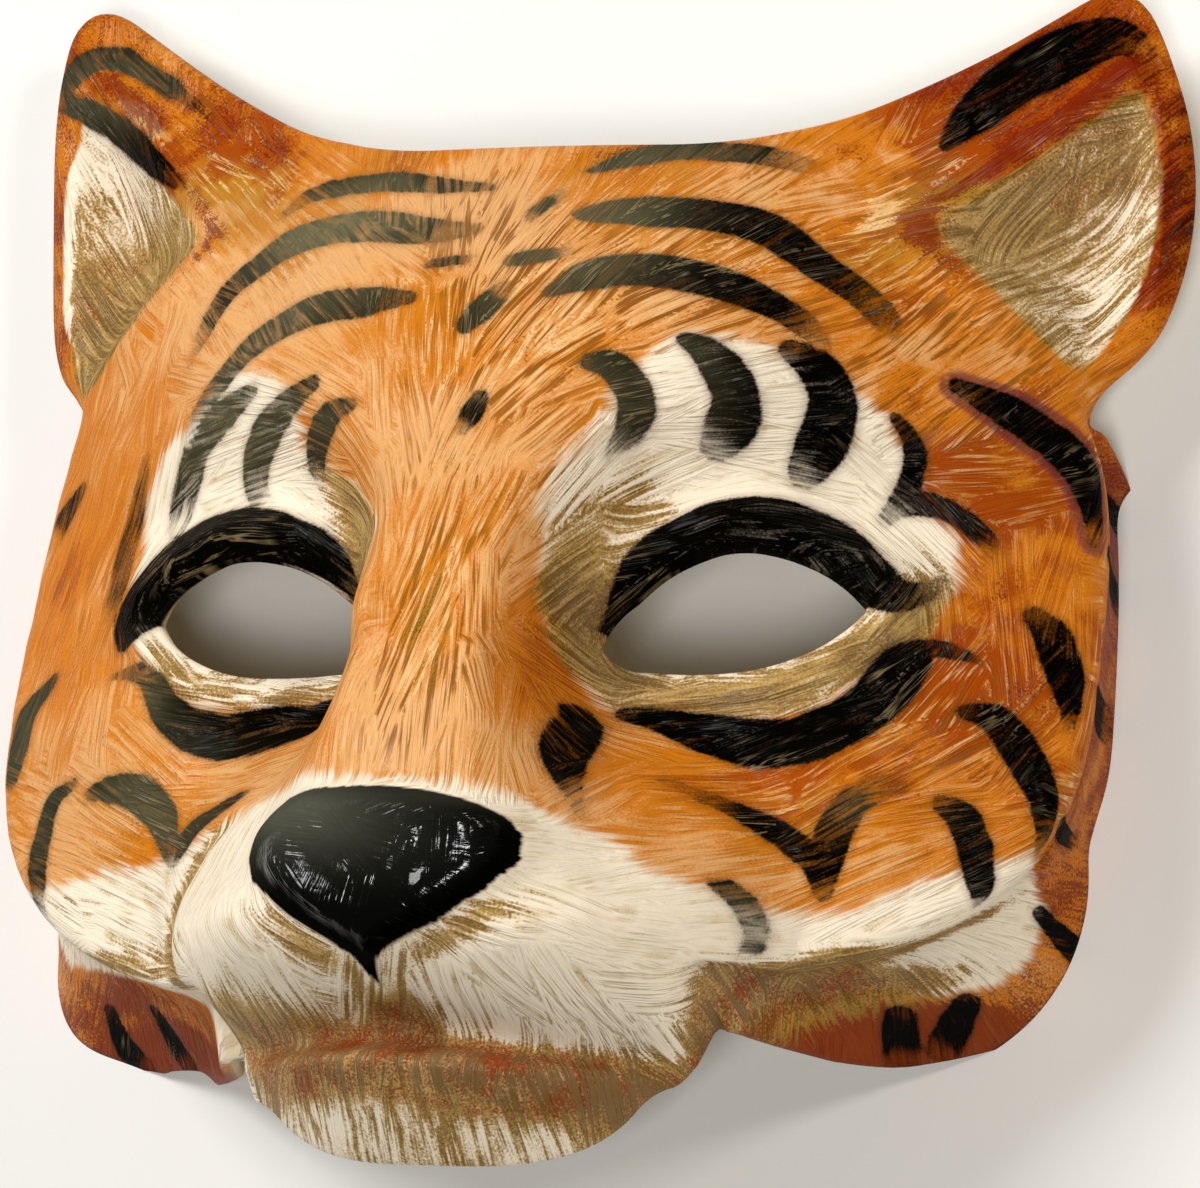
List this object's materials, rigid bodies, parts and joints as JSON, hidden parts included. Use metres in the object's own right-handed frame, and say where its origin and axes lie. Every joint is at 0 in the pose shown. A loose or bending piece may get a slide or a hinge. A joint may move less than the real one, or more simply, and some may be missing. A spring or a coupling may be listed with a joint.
{
  "type": "tiger mask",
  "caption": "Papier-mache half-round face mask of a tiger with cupped ears, open almond eye holes, full muzzle and a short chin, lying face up.",
  "frame": {"origin": "middle of the mask's box in plan, at the level of the cheek rims that it lies on", "axes": "+X to the viewer's right, +Y up the face towards the ears, +Z out of the face"},
  "size_m": [0.1798, 0.1828, 0.0814],
  "materials": {
    "painted_papier_mache": "brush-painted in orange, cream and black under a warm antiquing wash and a glossy varnish"
  },
  "bodies": {
    "root": {"mask_shell": "painted_papier_mache"}
  },
  "joints": []
}
